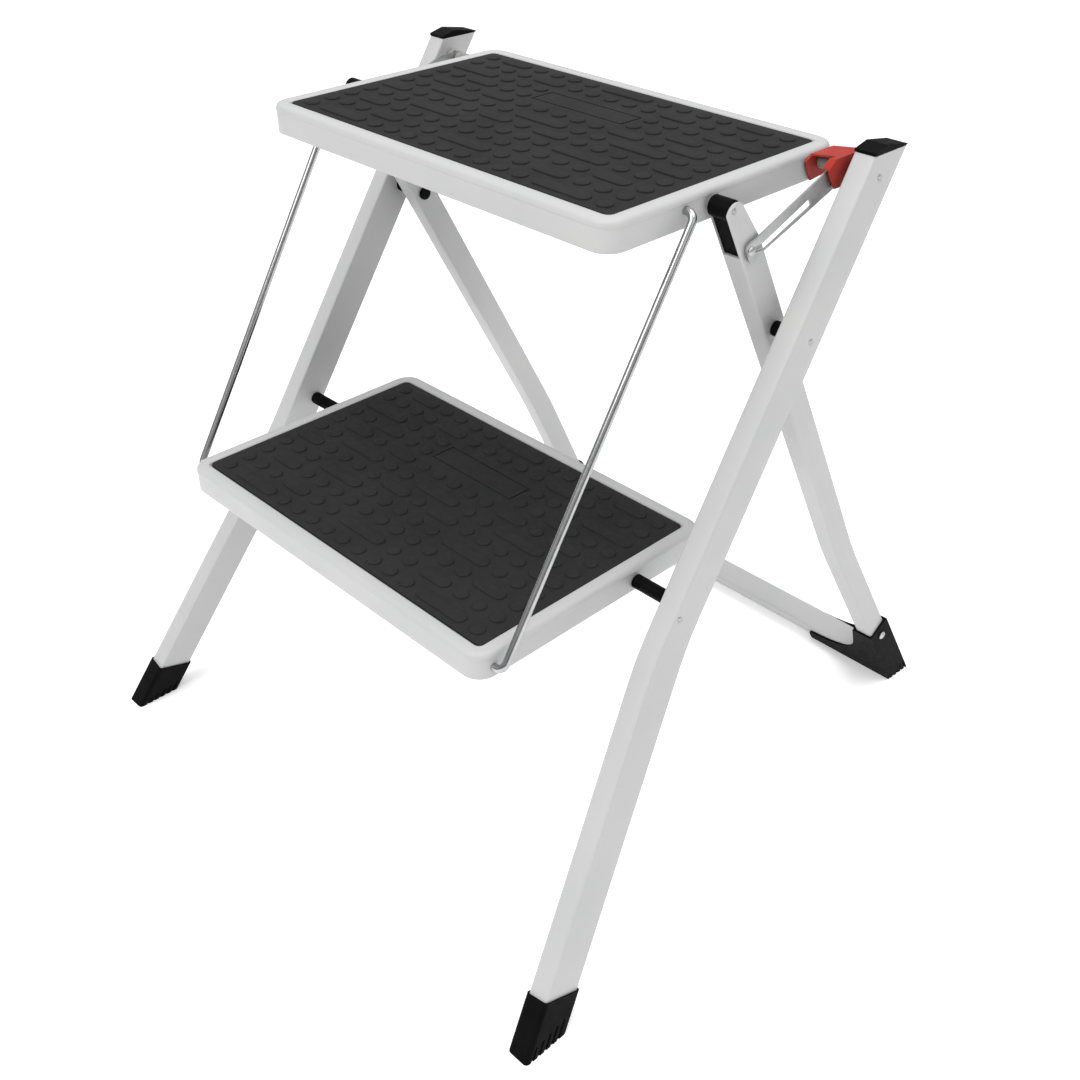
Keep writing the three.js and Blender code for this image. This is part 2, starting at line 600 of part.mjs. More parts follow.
addPair("front_leg", frontLeg(), paint);
addPair("leg_cap", legCap(), plastic);
addPair("front_foot", frontFoot(), plastic);
add("top_axle", topAxle(), zinc);
add("lower_axle", lowerAxle(), zinc);
addPair("lower_spacer", spacer(AXLE_LOWER, ...lowerGap, SPACER_R, AXLE_R), plastic);
addPair("leg_rivet", legRivet(), paint);
addPair("scissor_rivet", scissorRivet(), zinc);
addPair("scissor_spacer", spacer(SCISSOR, ...scissorGap, SPACER_R, RIVET_R), plastic);
addPair("axle_sleeve", spacer(AXLE_TOP, ...sleeveGap, SLEEVE_R, AXLE_R), nylon);
addPair("stay_spacer", spacer(AXLE_TOP, ...stayGap, SPACER_R, AXLE_R), nylon);

addPair("rear_leg", rearLeg(), paint);
add("rear_cross_tube", crossTube(), paint);
addPair("fork_insert", forkInsert(), plastic);
addPair("fork_rivet", forkRivet(), paint);
addPair("rear_shoe", rearShoe(), plastic);
addPair("shoe_screw", shoeScrew(), zinc);
addPair("stay_rivet", stayPinHead(), zinc);
addPair("scissor_cap", scissorCap(), plastic);

add("top_tray", tray(TOP_TREAD, AXLE_TOP), paint);
add("top_mat", mat(TOP_TREAD), rubber);
add("lower_tray", tray(LOWER_TREAD, AXLE_LOWER), paint);
add("lower_mat", mat(LOWER_TREAD), rubber);

addPair("link_rod", linkRod(), chrome);
addPair("rod_clip_top", rodClip(AXLE_TOP), zinc);
addPair("rod_clip_lower", rodClip(AXLE_LOWER), zinc);
addPair("stay_bar", stayBar(), zinc);
add("safety_latch", latch(), red);

export default group;
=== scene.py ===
"""Folding two-tread step stool: looks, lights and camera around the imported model. Millimetres in the
numbers below, metres in the scene. Right-hand pieces are built; left-hand ones mirror them."""
import json
from math import atan, cos, pi, radians, sin

import bmesh
import bpy
from mathutils import Euler, Matrix, Vector


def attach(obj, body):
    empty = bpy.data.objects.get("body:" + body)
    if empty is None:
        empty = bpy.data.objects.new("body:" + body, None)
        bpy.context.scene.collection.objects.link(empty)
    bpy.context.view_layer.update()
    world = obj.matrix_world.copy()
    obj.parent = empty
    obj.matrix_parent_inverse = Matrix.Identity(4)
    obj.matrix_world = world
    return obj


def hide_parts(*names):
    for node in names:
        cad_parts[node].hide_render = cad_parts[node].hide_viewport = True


MM = 0.001

# ---- Sizes shared with the CAD ------------------------------------------------------------
FRONT_LEAN = 0.657
FRONT_Y0 = -222.6
FRONT_THICK = 14
FRONT_WIDE = 31.4
FRONT_TOP_Z = 463.2
FRONT_TOP_X = 179.7
FRONT_TAPER = 0.0256
FRONT_BEND_Z = 204.8
FRONT_SPLAY = 0.1653
REAR_LEAN = -0.549
REAR_Y0 = 226.4
REAR_THICK = 14
REAR_WIDE = 20.7
REAR_X = 156.2
REAR_BEND_Z = 150.5
REAR_SPLAY = 0.108
CROSS_Z = 13.7
CROSS_DEEP = 18
BEND_HALF = 14
TUBE_ROUND = 1.7
SOLE = 5
GAP = 0.3

TREAD_WIDTH = 292
TREAD_DEPTH = 193.4
TREAD_CORNER = 13
TREADS = {"top": (-4.9, 458.5, "top_step"), "lower": (-99.4, 235.9, "lower_step")}
MAT_WIDTH = 273
MAT_DEPTH = 172.6
MAT_CORNER = 4
MAT_BASE = 2.1  # below the tread's rim
MAT_THICK = 1.6

AXLE_TOP = (73, 450.8)
AXLE_LOWER = (-67.5, 225.4)
SCISSOR = (22.9, 368.6)
FORK = (-24.2, 449.8)
STAY_PIN = (-10, 424.6)
LEG_RIVET = (-81, 228.8)
LINK_ARM = 116.5
BOSS_R = 5.8
FORK_AHEAD = 3.2  # the fork's pivot is in front of the rear leg's centre line
FORK_TIP_R = 7
FORK_TIP_DROP = 3.1
FORK_TAPER_LOW = 35
FORK_EAR_LOW = 3.6
FORK_SLOT_LOW = 30.3
FORK_SHEET = 1.3
ROD_R = 2.4
ROD_X = 152.8
ROD_END_X = 141.5
ROD_BEND = 5.5
COVER_WALL = 1.9
AXLE_R = 3.5
RIVET_R = 1.4  # head of a leg rivet, down in its dimple
RIVET_H = 0.8
RIVET_SINK = 0.8  # from the leg's face down to where the head starts
DIMPLE_R = 2.8
DIMPLE_DEPTH = 0.9
GROOVES = 5  # in the sole of each foot and cover
STAY_FACE = 165.8

# ---- Mat pattern: dots and pads on a grid, back row first ---------------------------------
MAT_ROWS = (
    "o2oooo3oooo2o",
    "oooo2ooooo2oooo",
    "3ooo.....ooo3",
    "oo2oo.....oo2oo",
    "o2o2ooooo2o2o",
    "oo3oo3oo3oo",
    "2oooo2o2oooo2",
    "ooo3ooooo3ooo",
    "o2ooooooooooo2o",
    "ooo2oo3oo2ooo",
    "o3ooooooooo3o",
)
MAT_COLUMNS = 17
COLUMN_STEP = 15.6
ROW_STEP = 15.3
PATTERN_SHIFT = -0.9
PAD_R = 4.7
PAD_STEPS = 7
PAD_PROFILE = ((0, -0.2), (0, 0.55), (0.15, 0.85), (0.5, 1.02), (1.1, 1.08))  # (inset, height)
PANEL = (77, 19, 37.3)  # width, depth, and how far behind the mat's middle
PANEL_GROOVE = (1.3, 0.8)  # width and depth of its outline


# ---- Node materials -----------------------------------------------------------------------
class Shader:
    """A Principled material with small helpers for its procedural inputs."""

    def __init__(self, name, **sockets):
        self.material = bpy.data.materials.new(name)
        self.material.use_nodes = True
        self.tree = self.material.node_tree
        self.principled = self.tree.nodes["Principled BSDF"]
        for socket, value in sockets.items():
            self.principled.inputs[socket.replace("_", " ")].default_value = value
        self.coordinates = self.node("ShaderNodeTexCoord").outputs["Object"]

    def node(self, kind, **settings):
        made = self.tree.nodes.new(kind)
        for key, value in settings.items():
            setattr(made, key, value)
        return made

    def link(self, output, target):
        self.tree.links.new(output, target)

    def noise(self, scale, detail=3, stretch=(1, 1, 1)):
        mapping = self.node("ShaderNodeMapping")
        mapping.inputs["Scale"].default_value = stretch
        self.link(self.coordinates, mapping.inputs["Vector"])
        texture = self.node("ShaderNodeTexNoise")
        texture.inputs["Scale"].default_value = scale
        texture.inputs["Detail"].default_value = detail
        self.link(mapping.outputs["Vector"], texture.inputs["Vector"])
        return texture.outputs["Fac"]

    def spread(self, value, low, high, source=(0.3, 0.7)):
        remap = self.node("ShaderNodeMapRange")
        self.link(value, remap.inputs["Value"])
        remap.inputs["From Min"].default_value = source[0]
        remap.inputs["From Max"].default_value = source[1]
        remap.inputs["To Min"].default_value = low
        remap.inputs["To Max"].default_value = high
        return remap.outputs["Result"]

    def mix(self, factor, first, second):
        mixer = self.node("ShaderNodeMix", data_type="RGBA")
        self.link(factor, mixer.inputs["Factor"])
        for socket, colour in ((mixer.inputs["A"], first), (mixer.inputs["B"], second)):
            if isinstance(colour, tuple):
                socket.default_value = (*colour, 1)
            else:
                self.link(colour, socket)
        return mixer.outputs["Result"]

    def edges(self, radius):
        """1 along sharp edges, 0 on flat faces."""
        bevel = self.node("ShaderNodeBevel", samples=4)
        bevel.inputs["Radius"].default_value = radius
        geometry = self.node("ShaderNodeNewGeometry")
        dot = self.node("ShaderNodeVectorMath", operation="DOT_PRODUCT")
        self.link(bevel.outputs["Normal"], dot.inputs[0])
        self.link(geometry.outputs["Normal"], dot.inputs[1])
        return self.spread(dot.outputs["Value"], 1, 0, (0.75, 0.98))

    def colour(self, output):
        self.link(output, self.principled.inputs["Base Color"])

    def roughness(self, output):
        self.link(output, self.principled.inputs["Roughness"])

    def bump(self, height, distance, strength=1.0):
        bump = self.node("ShaderNodeBump")
        bump.inputs["Distance"].default_value = distance
        bump.inputs["Strength"].default_value = strength
        self.link(height, bump.inputs["Height"])
        self.link(bump.outputs["Normal"], self.principled.inputs["Normal"])


def powder_coat():
    shader = Shader("powder_coat", Specular_IOR_Level=0.4)
    soft = shader.noise(14, 2)
    clean = shader.mix(shader.spread(soft, 0, 1), (0.465, 0.467, 0.47), (0.492, 0.492, 0.49))
    shader.colour(shader.mix(shader.edges(0.0006), clean, (0.55, 0.55, 0.547)))
    shader.roughness(shader.spread(shader.noise(60, 4), 0.4, 0.5))
    shader.bump(shader.noise(900, 2), 0.00004, 0.5)
    return shader.material


def moulded_rubber():
    shader = Shader("moulded_rubber", Specular_IOR_Level=0.22)
    dust = shader.spread(shader.noise(26, 5), 0, 1)
    base = shader.mix(dust, (0.015, 0.015, 0.0156), (0.020, 0.020, 0.0206))
    shader.colour(shader.mix(shader.edges(0.0005), base, (0.032, 0.032, 0.033)))
    shader.roughness(shader.spread(shader.noise(180, 3), 0.72, 0.86))
    shader.bump(shader.noise(1500, 3), 0.00005, 0.5)
    return shader.material


def black_plastic():
    shader = Shader("black_plastic", Specular_IOR_Level=0.03)
    tone = shader.spread(shader.noise(40, 3), 0, 1)
    base = shader.mix(tone, (0.0028, 0.0028, 0.003), (0.0048, 0.0048, 0.005))
    shader.colour(shader.mix(shader.edges(0.0005), base, (0.009, 0.009, 0.0094)))
    shader.roughness(shader.spread(shader.noise(300, 3), 0.38, 0.52))
    shader.bump(shader.noise(1300, 2), 0.00004, 0.5)
    return shader.material


def bright_chrome():
    shader = Shader("bright_chrome", Metallic=1.0)
    tone = shader.spread(shader.noise(90, 3), 0, 1)
    shader.colour(shader.mix(tone, (0.38, 0.384, 0.39), (0.46, 0.46, 0.465)))
    shader.roughness(shader.spread(shader.noise(400, 3), 0.1, 0.22))
    shader.bump(shader.noise(700, 2), 0.00001, 0.4)
    return shader.material


def zinc_plate():
    shader = Shader("zinc_plate", Metallic=1.0)
    tone = shader.spread(shader.noise(160, 4), 0, 1)
    base = shader.mix(tone, (0.4, 0.403, 0.41), (0.5, 0.5, 0.5))
    shader.colour(shader.mix(shader.edges(0.0003), base, (0.34, 0.34, 0.345)))
    shader.roughness(shader.spread(shader.noise(500, 4, (1, 0.12, 0.3)), 0.3, 0.48))
    shader.bump(shader.noise(900, 3, (1, 0.1, 0.3)), 0.00001, 0.5)
    return shader.material


def red_plastic():
    shader = Shader("red_plastic", Specular_IOR_Level=0.08)
    tone = shader.spread(shader.noise(50, 3), 0, 1)
    base = shader.mix(tone, (0.34, 0.034, 0.026), (0.39, 0.042, 0.032))
    shader.colour(shader.mix(shader.edges(0.0005), base, (0.44, 0.055, 0.04)))
    shader.roughness(shader.spread(shader.noise(250, 3), 0.36, 0.5))
    shader.bump(shader.noise(1200, 2), 0.00004, 0.4)
    return shader.material


def nylon_painted_shade():
    shader = Shader("nylon_painted_shade", Specular_IOR_Level=0.4)
    tone = shader.spread(shader.noise(70, 3), 0, 1)
    # Painted shade: the nylon's own pale colour is swapped for this dark grey to stand in for the shade in
    # the notch under the top plate. The spacers take the same grey.
    shader.colour(shader.mix(tone, (0.2, 0.2, 0.195), (0.27, 0.27, 0.262)))
    shader.roughness(shader.spread(shader.noise(240, 3), 0.42, 0.56))
    shader.bump(shader.noise(1000, 2), 0.00003, 0.4)
    return shader.material


# ---- Mesh helpers -------------------------------------------------------------------------
def sweep(rings, cap_start=True, cap_end=True):
    """Vertices and faces of a skin through rings of equal point counts."""
    count = len(rings[0])
    vertices = [point for ring in rings for point in ring]
    faces = []
    for k in range(len(rings) - 1):
        for i in range(count):
            j = (i + 1) % count
            faces.append((k * count + i, k * count + j, (k + 1) * count + j, (k + 1) * count + i))
    if cap_start:
        faces.append(tuple(range(count))[::-1])
    if cap_end:
        faces.append(tuple(range((len(rings) - 1) * count, len(rings) * count)))
    return vertices, faces


def mesh_object(name, geometry, mirror=False):
    vertices, faces = geometry
    side = -1 if mirror else 1
    mesh = bpy.data.meshes.new(name)
    mesh.from_pydata([(side * x * MM, y * MM, z * MM) for x, y, z in vertices], [], faces)
    bm = bmesh.new()
    bm.from_mesh(mesh)
    bmesh.ops.recalc_face_normals(bm, faces=bm.faces)
    bm.to_mesh(mesh)
    bm.free()
    made = bpy.data.objects.new(name, mesh)
    bpy.context.scene.collection.objects.link(made)
    return made


def smooth(piece, angle=40):
    piece.data.shade_smooth()
    piece.data.set_sharp_from_angle(angle=radians(angle))


def cut(piece, *cutters):
    for cutter in cutters:
        modifier = piece.modifiers.new("cut", "BOOLEAN")
        modifier.object = cutter
        modifier.solver = "EXACT"
    depsgraph = bpy.context.evaluated_depsgraph_get()
    piece.data = bpy.data.meshes.new_from_object(piece.evaluated_get(depsgraph))
    piece.modifiers.clear()
    for cutter in cutters:
        bpy.data.objects.remove(cutter)


def bevel(piece, width, segments=3, angle=25, over=3):
    """Merges flat facets, rounds every edge sharper than the angle and evens the shading."""
    bm = bmesh.new()
    bm.from_mesh(piece.data)
    bmesh.ops.remove_doubles(bm, verts=bm.verts, dist=0.00002)
    bmesh.ops.dissolve_limit(bm, angle_limit=radians(over), verts=bm.verts, edges=bm.edges)
    bm.to_mesh(piece.data)
    bm.free()
    rounded = piece.modifiers.new("bevel", "BEVEL")
    rounded.width = width * MM
    rounded.segments = segments
    rounded.limit_method = "ANGLE"
    rounded.angle_limit = radians(angle)
    rounded.use_clamp_overlap = True
    smooth(piece, 50)
    piece.modifiers.new("weighted", "WEIGHTED_NORMAL").keep_sharp = True


def cad_copy(node, name):
    """A new piece that starts from a CAD node's shape."""
    source = frame["nodes"][node]
    made = bpy.data.objects.new(name, source.data.copy())
    bpy.context.scene.collection.objects.link(made)
    return made


def place(piece, look, body, slot, *nodes):
    piece.data.materials.clear()
    piece.data.materials.append(look)
    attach(piece, body)
    if nodes:
        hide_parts(*nodes)
    return piece


def rounded_ring(width, depth, radius, place_point, steps):
    """Rounded rectangle, counter-clockwise; place_point turns each (x, y) into a 3-D point."""
    ring = []
    radius = max(radius, 0.2)
    corners = ((1, -1, -0.5), (1, 1, 0), (-1, 1, 0.5), (-1, -1, 1))
    for sx, sy, turn in corners:
        cx = sx * (width / 2 - radius)
        cy = sy * (depth / 2 - radius)
        for k in range(steps + 1):
            angle = pi * (turn + 0.5 * k / steps)
            ring.append(place_point(cx + radius * cos(angle), cy + radius * sin(angle)))
    return ring


def box(x0, x1, y0, y1, z0, z1, matrix=Matrix.Identity(4)):
    corners = [(x, y, z) for z in (z0, z1) for x, y in ((x0, y0), (x1, y0), (x1, y1), (x0, y1))]
    vertices = [tuple(matrix @ Vector(corner)) for corner in corners]
    sides = [(i, (i + 1) % 4, (i + 1) % 4 + 4, i + 4) for i in range(4)]
    return vertices, [(3, 2, 1, 0), (4, 5, 6, 7), *sides]


def turned(axis, profile, steps=28):
    """Solid of revolution about the X axis through (y, z); the profile is [(x, radius)]."""
    y, z = axis
    rings = []
    for x, radius in profile:
        angles = [2 * pi * k / steps for k in range(steps)]
        rings.append([(x, y + radius * cos(a), z + radius * sin(a)) for a in angles])
    return sweep(rings)


def both(name):
    return ((name + "_right", False), (name + "_left", True))


# ---- Legs ---------------------------------------------------------------------------------
def bent_x(z, bend_z, at_bend, slope_above, slope_below):
    t = min(max((bend_z - z) / BEND_HALF, -1), 1)
    eased = BEND_HALF * (1 + t) ** 2 / 4 + max(bend_z - BEND_HALF - z, 0)
    return at_bend + slope_above * (bend_z - z) + (slope_below - slope_above) * eased


def front_x(z):
    at_bend = FRONT_TOP_X + FRONT_TAPER * (FRONT_TOP_Z - FRONT_BEND_Z)
    return bent_x(z, FRONT_BEND_Z, at_bend, FRONT_TAPER, FRONT_SPLAY)


def front_outside(axis):
    """X of the right front leg's outer face at the height of an axis (y, z)."""
    return front_x(axis[1]) + FRONT_THICK / 2


def rear_x(z):
    return bent_x(z, REAR_BEND_Z, REAR_X, 0, REAR_SPLAY)


def leg_tube(width, depth, low, high, bend_z, x_at, y_at):
    bend = [bend_z + BEND_HALF * (k / 6 - 1) for k in range(13)]
    stations = [low, *(z for z in bend if low < z < high), high]
    rings = []
    for z in stations:
        x0, y0 = x_at(z), y_at(z)
        ring = rounded_ring(width, depth, TUBE_ROUND, lambda x, y: (x0 + x, y0 + y, z), 5)
        rings.append(ring)
    return sweep(rings)


def dimple(axis, face_x, radius=DIMPLE_R, depth=DIMPLE_DEPTH):
    """Cutter for a shallow round dish in a face that looks along +X."""
    floor_x = face_x - depth
    dish = [(floor_x, 0.01), (floor_x + depth * 0.15, radius * 0.55), (face_x, radius)]
    profile = [*dish, (face_x + 4, radius * 1.6)]
    return mesh_object("dimple", turned(axis, profile, 32))


def flipped(cutter):
    cutter.data.transform(Matrix.Scale(-1, 4, (1, 0, 0)))
    cutter.data.flip_normals()
    return cutter


def front_legs(paint):
    for name, mirror in both("front_leg"):
        tube = leg_tube(
            FRONT_THICK, FRONT_WIDE, SOLE + GAP, FRONT_TOP_Z, FRONT_BEND_Z, front_x,
            lambda z: FRONT_Y0 + FRONT_LEAN * z,
        )
        leg = mesh_object("tube_" + name, tube, mirror)
        dishes = []
        for axis in (AXLE_TOP, SCISSOR, LEG_RIVET):
            dish = dimple(axis, front_outside(axis))
            dishes.append(flipped(dish) if mirror else dish)
        cut(leg, *dishes)
        smooth(leg, 30)
        place(leg, paint, "front_frame", "paint", name)


REAR_AXIS = Vector((0, REAR_LEAN, 1)).normalized()
REAR_FRONT = Vector((0, -REAR_AXIS.z, REAR_AXIS.y))


def rear_frame_at(origin):
    """Axes of a rear leg: X across, Y up the leg, Z out of its front."""
    x = Vector((1, 0, 0))
    rotation = Matrix((x, REAR_AXIS, REAR_FRONT)).transposed().to_4x4()
    return Matrix.Translation((0, *origin)) @ rotation


def fork_waste():
    """Outline, as (up the leg, out of its front), of what is cut off around the fork's tip."""
    back = -FORK_AHEAD - REAR_WIDE * REAR_AXIS.z / 2
    low = -FORK_TAPER_LOW
    turns = [radians(56 - 146 * k / 20) for k in range(21)]
    tip = [(FORK_TIP_R * cos(a) - FORK_TIP_DROP, FORK_TIP_R * sin(a)) for a in turns]
    return [(0.8, 20), *tip, (low, back), (low, back - 15), (40, back - 15), (40, 20)]


def rear_legs(paint):
    inner = REAR_X - REAR_THICK / 2
    outer = REAR_X + REAR_THICK / 2
    at_fork = rear_frame_at(FORK)
    for name, mirror in both("rear_leg"):
        tube = leg_tube(
            REAR_THICK, REAR_WIDE, CROSS_Z + 10, FORK[1] + 20, REAR_BEND_Z, rear_x,
            lambda z: REAR_Y0 + REAR_LEAN * z,
        )
        leg = mesh_object("tube_" + name, tube, mirror)
        slot = box(inner + FORK_SHEET, outer - FORK_SHEET, -FORK_SLOT_LOW, 40, -20, 15, at_fork)
        ear = box(inner - 5, inner + 5, -FORK_EAR_LOW, 40, -20, 20, at_fork)
        waste = fork_waste()
        rings = [[tuple(at_fork @ Vector((x, u, v))) for u, v in waste] for x in (inner - 6, outer + 6)]
        boss = turned(FORK, [(inner - 5, BOSS_R + GAP), (inner + 5, BOSS_R + GAP)], 40)
        cutters = [mesh_object("cutter", g, mirror) for g in (slot, ear, sweep(rings), boss)]
        dish = dimple(FORK, outer)
        cutters.append(flipped(dish) if mirror else dish)
        cut(leg, *cutters)
        smooth(leg, 30)
        place(leg, paint, "rear_frame", "paint", name)


def cross_tube(paint):
    half = rear_x(CROSS_Z) + REAR_THICK / 2 - 1
    at_cross = rear_frame_at((REAR_Y0 + REAR_LEAN * CROSS_Z, CROSS_Z))
    rings = []
    for x in (-half, half):
        ring = rounded_ring(
            REAR_THICK, CROSS_DEEP, TUBE_ROUND, lambda u, v: tuple(at_cross @ Vector((x, u, v))), 5
        )
        rings.append(ring)
    tube = mesh_object("tube_cross", sweep(rings))
    smooth(tube, 30)
    place(tube, paint, "rear_frame", "paint", "rear_cross_tube")


# ---- Treads -------------------------------------------------------------------------------
RIM_PROFILE = (  # (inset from the outline, height from the rim), from the floor over the rim
    (16, -2.4), (10.2, -2.4), (9.75, -2.2), (9.5, -1.5), (9.2, -0.7), (8.6, -0.25), (7.6, -0.04),
    (5.6, 0), (3.8, -0.04), (2.5, -0.3), (1.4, -0.85), (0.6, -1.7), (0.15, -2.8), (0, -4.1),
    (0.12, -4.4), (0.34, -4.6), (0.34, -5.2), (0.3, -17.1), (0.5, -17.7), (0.95, -18),
    (1.4, -17.7), (1.55, -17.1), (1.55, -5.4), (2.6, -4), (5, -3.6), (16, -3.6),
)


def trays(paint):
    for which, (y, top, body) in TREADS.items():
        rings = []
        for inset, height in RIM_PROFILE:
            z = top + height
            ring = rounded_ring(
                TREAD_WIDTH - 2 * inset, TREAD_DEPTH - 2 * inset, TREAD_CORNER - inset,
                lambda u, v: (u, y + v, z), 10,
            )
            rings.append(ring)
        tray = mesh_object(which + "_tread_shell", sweep(rings))
        smooth(tray, 50)
        place(tray, paint, body, "paint", which + "_tray")


def pad(cx, cy, base, half):
    """Flat-topped stud, or a long one, with a rounded shoulder."""
    rings = []
    for inset, height in PAD_PROFILE:
        radius = PAD_R - inset
        ring = rounded_ring(
            2 * (half + radius), 2 * radius, radius, lambda u, v: (cx + u, cy + v, base + height), PAD_STEPS
        )
        rings.append(ring)
    return sweep(rings, cap_start=False)


def mat_studs(y, base):
    vertices, faces = [], []
    for row, cells in enumerate(MAT_ROWS):
        cy = y + PATTERN_SHIFT + ROW_STEP * ((len(MAT_ROWS) - 1) / 2 - row)
        column = 0
        for cell in cells:
            span = int(cell) if cell.isdigit() else 1
            if cell != ".":
                cx = COLUMN_STEP * (column + (span - 1) / 2 - (MAT_COLUMNS - 1) / 2)
                points, skins = pad(cx, cy, base, COLUMN_STEP * (span - 1) / 2)
                faces += [tuple(i + len(vertices) for i in skin) for skin in skins]
                vertices += points
            column += span
    return vertices, faces


def mats(rubber):
    for which, (y, rim, body) in TREADS.items():
        low = rim - MAT_BASE
        rings = []
        for inset, height in ((0, 0), (0, MAT_THICK - 0.6), (0.2, MAT_THICK - 0.2), (0.7, MAT_THICK)):
            ring = rounded_ring(
                MAT_WIDTH - 2 * inset, MAT_DEPTH - 2 * inset, MAT_CORNER - inset,
                lambda u, v: (u, y + v, low + height), 5,
            )
            rings.append(ring)
        mat = mesh_object(which + "_tread_mat", sweep(rings))
        top = low + MAT_THICK
        width, depth, behind = PANEL
        groove, deep = PANEL_GROOVE
        cy = y + behind
        x1 = width / 2
        y1 = depth / 2
        cutters = (
            box(-x1, x1, cy + y1 - groove, cy + y1, top - deep, top + 2),
            box(-x1, x1, cy - y1, cy - y1 + groove, top - deep, top + 2),
            box(-x1, -x1 + groove, cy - y1 + groove / 2, cy + y1 - groove / 2, top - deep, top + 2),
            box(x1 - groove, x1, cy - y1 + groove / 2, cy + y1 - groove / 2, top - deep, top + 2),
        )
        cut(mat, *(mesh_object("cutter", geometry) for geometry in cutters))
        studs = mesh_object("studs", mat_studs(y, top))
        bm = bmesh.new()
        bm.from_mesh(mat.data)
        bm.from_mesh(studs.data)
        bm.to_mesh(mat.data)
        bm.free()
        bpy.data.objects.remove(studs)
        smooth(mat, 50)
        place(mat, rubber, body, "tread_rubber", which + "_mat")


# ---- Rods, rivets and small parts ---------------------------------------------------------
def wire(points, radius, steps=14):
    rings = []
    side = Vector((0, 0, 1))
    for k, point in enumerate(points):
        ahead = points[min(k + 1, len(points) - 1)] - points[max(k - 1, 0)]
        along = ahead.normalized()
        side = (side - along * side.dot(along)).normalized()
        other = along.cross(side)
        angles = [2 * pi * i / steps for i in range(steps)]
        rings.append([tuple(point + radius * (cos(a) * side + sin(a) * other)) for a in angles])
    return sweep(rings)


def arc(start, corner, end, radius, steps=8):
    """Points of a round bend at a corner between two straight runs."""
    back = (start - corner).normalized()
    ahead = (end - corner).normalized()
    half = back.angle(ahead) / 2
    first = corner + back * radius / (sin(half) / cos(half))
    centre = corner + (back + ahead).normalized() * radius / sin(half)
    turn = (pi - 2 * half)
    axis = back.cross(ahead).normalized()
    points = []
    for k in range(steps + 1):
        points.append(centre + Matrix.Rotation(-turn * k / steps, 3, axis) @ (first - centre))
    return points


def link_rods(chrome):
    for name, mirror in both("link_rod"):
        top = Vector((ROD_X, AXLE_TOP[0] - LINK_ARM, AXLE_TOP[1]))
        low = Vector((ROD_X, AXLE_LOWER[0] - LINK_ARM, AXLE_LOWER[1]))
        inward = Vector((ROD_END_X - ROD_X, 0, 0))
        points = [top + inward, *arc(top + inward, top, low, ROD_BEND)]
        points += [*arc(top, low, low + inward, ROD_BEND), low + inward]
        rod = mesh_object("wire_" + name, wire(points, ROD_R, 16), mirror)
        smooth(rod, 60)
        place(rod, chrome, rod_body(mirror), "rod_chrome", name)


def rod_body(mirror):
    return "rod_left" if mirror else "rod_right"


def rivet_profile(face, radius, height, inner):
    """Shank from the inner end, then a domed head that starts at the face."""
    angles = [pi / 2 * k / 5 for k in range(5)]
    dome = [(face + height * sin(a), radius * cos(a)) for a in angles]
    shank = [(inner, radius * 0.7), (face - 0.3, radius * 0.7)]
    return [*shank, (face - 0.3, radius), *dome, (face + height, 0.2)]


def rivet(name, axis, face, radius, height, look, body, slot):
    profile = rivet_profile(face, radius, height, face - 3)
    for full, mirror in both(name):
        made = mesh_object("head_" + full, turned(axis, profile), mirror)
        smooth(made, 40)
        place(made, look, body, slot, full)


def rivets(zinc):
    leg_face = front_outside(LEG_RIVET) - RIVET_SINK
    fork_face = REAR_X + REAR_THICK / 2 - 0.9
    rivet("leg_rivet", LEG_RIVET, leg_face, RIVET_R, RIVET_H, zinc, "front_frame", "paint")
    rivet("fork_rivet", FORK, fork_face, 1.5, RIVET_H, zinc, "rear_frame", "paint")
    rivet("stay_rivet", STAY_PIN, STAY_FACE + GAP, 2.9, 1.3, zinc, "rear_frame", "zinc")


def top_axle(zinc):
    face = front_outside(AXLE_TOP) - RIVET_SINK
    shoulder = face - 6
    half = [(shoulder, AXLE_R), *rivet_profile(face, RIVET_R, RIVET_H, shoulder)]
    profile = [(-x, radius) for x, radius in reversed(half)] + half
    axle = mesh_object("axle_top", turned(AXLE_TOP, profile))
    smooth(axle, 40)
    place(axle, zinc, "front_frame", "zinc", "top_axle")


def scissor_rivets(zinc):
    face = front_outside(SCISSOR) - RIVET_SINK
    inner = REAR_X - REAR_THICK / 2 - 1
    profile = rivet_profile(face, RIVET_R, RIVET_H, inner)
    for name, mirror in both("scissor_rivet"):
        made = mesh_object("pin_" + name, turned(SCISSOR, profile), mirror)
        smooth(made, 40)
        place(made, zinc, "front_frame", "zinc", name)


# ---- Black mouldings ----------------------------------------------------------------------
def feet(plastic):
    splay = Matrix.Rotation(-atan(FRONT_SPLAY), 4, "Y")
    tilt = splay @ Matrix.Rotation(-atan(FRONT_LEAN), 4, "X")
    reach = FRONT_THICK / 2 + 0.5  # from the leg's middle out to the bottom of a groove
    for name, mirror in both("front_foot"):
        foot = cad_copy(name, "boot_" + name)
        cutters = []
        for k in range(GROOVES):
            y = FRONT_Y0 - 11.5 + 5.4 * k
            at_sole = Matrix.Translation((front_x(0), y, 0)) @ tilt
            for x0, x1 in ((reach, 14), (-14, -reach)):
                geometry = box(x0, x1, -0.9, 0.9, -6, 8 + k, at_sole)
                cutters.append(mesh_object("cutter", geometry, mirror))
        cut(foot, *cutters)
        bevel(foot, 0.7, 2)
        place(foot, plastic, "front_frame", "black_plastic", name)


def covers(plastic):
    at_foot = rear_frame_at((REAR_Y0, 0))
    for name, mirror in both("rear_shoe"):
        cover = cad_copy(name, "cover_" + name)
        edge = rear_x(0) + REAR_THICK / 2 + COVER_WALL
        cutters = []
        for k in range(GROOVES):
            v = 9.6 - 4.6 * k
            geometry = box(edge - 0.9, edge + 6, -8, 7, v - 0.8, v + 0.8, at_foot)
            cutters.append(mesh_object("cutter", geometry, mirror))
        cut(cover, *cutters)
        bevel(cover, 0.6, 2)
        place(cover, plastic, "rear_frame", "black_plastic", name)


